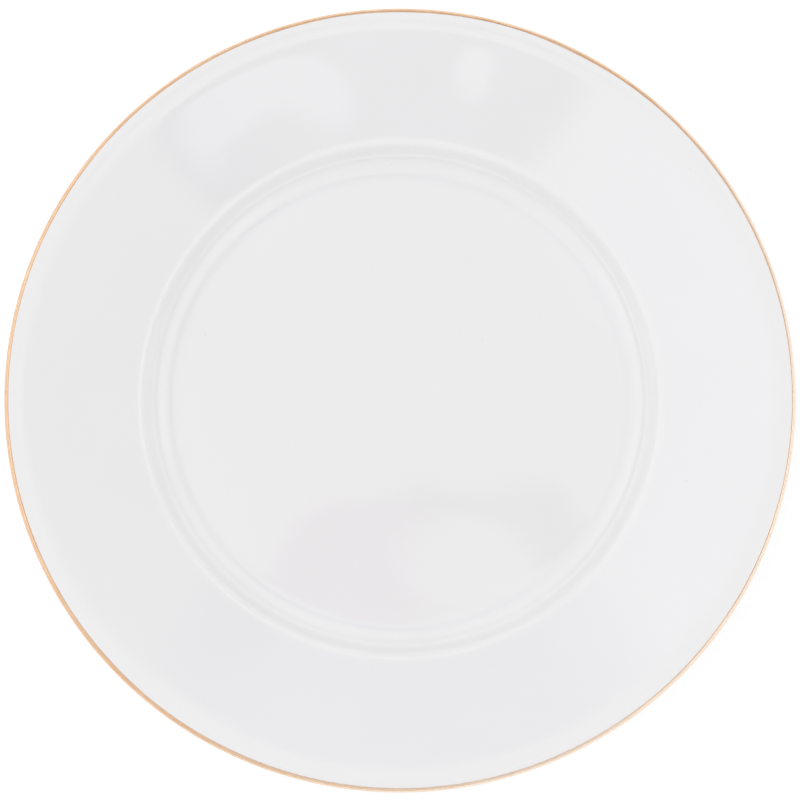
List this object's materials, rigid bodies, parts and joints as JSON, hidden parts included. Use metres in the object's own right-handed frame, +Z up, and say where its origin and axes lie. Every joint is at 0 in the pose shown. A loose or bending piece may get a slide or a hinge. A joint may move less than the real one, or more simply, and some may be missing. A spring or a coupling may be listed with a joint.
{
  "type": "dinner plate",
  "caption": "Round white porcelain dinner plate with a flat well, a short steep wall, a wide plain rim, a thin gold line on the lip and a foot ring.",
  "frame": {"origin": "centre of the foot ring's toe, on the table", "axes": "+Z up along the plate's axis; the plate is round about Z, so +X and +Y are any two level directions"},
  "size_m": [0.27, 0.27, 0.022],
  "materials": {
    "bisque": "unglazed, matt, ground smooth at the toe of the foot ring",
    "glaze": "clear gloss glaze over white porcelain",
    "gold": "fired bright gold, hand-lined"
  },
  "bodies": {
    "root": {"porcelain_body": "bisque", "outer_glaze": "glaze", "base_glaze": "glaze", "gold_line": "gold"}
  },
  "joints": []
}
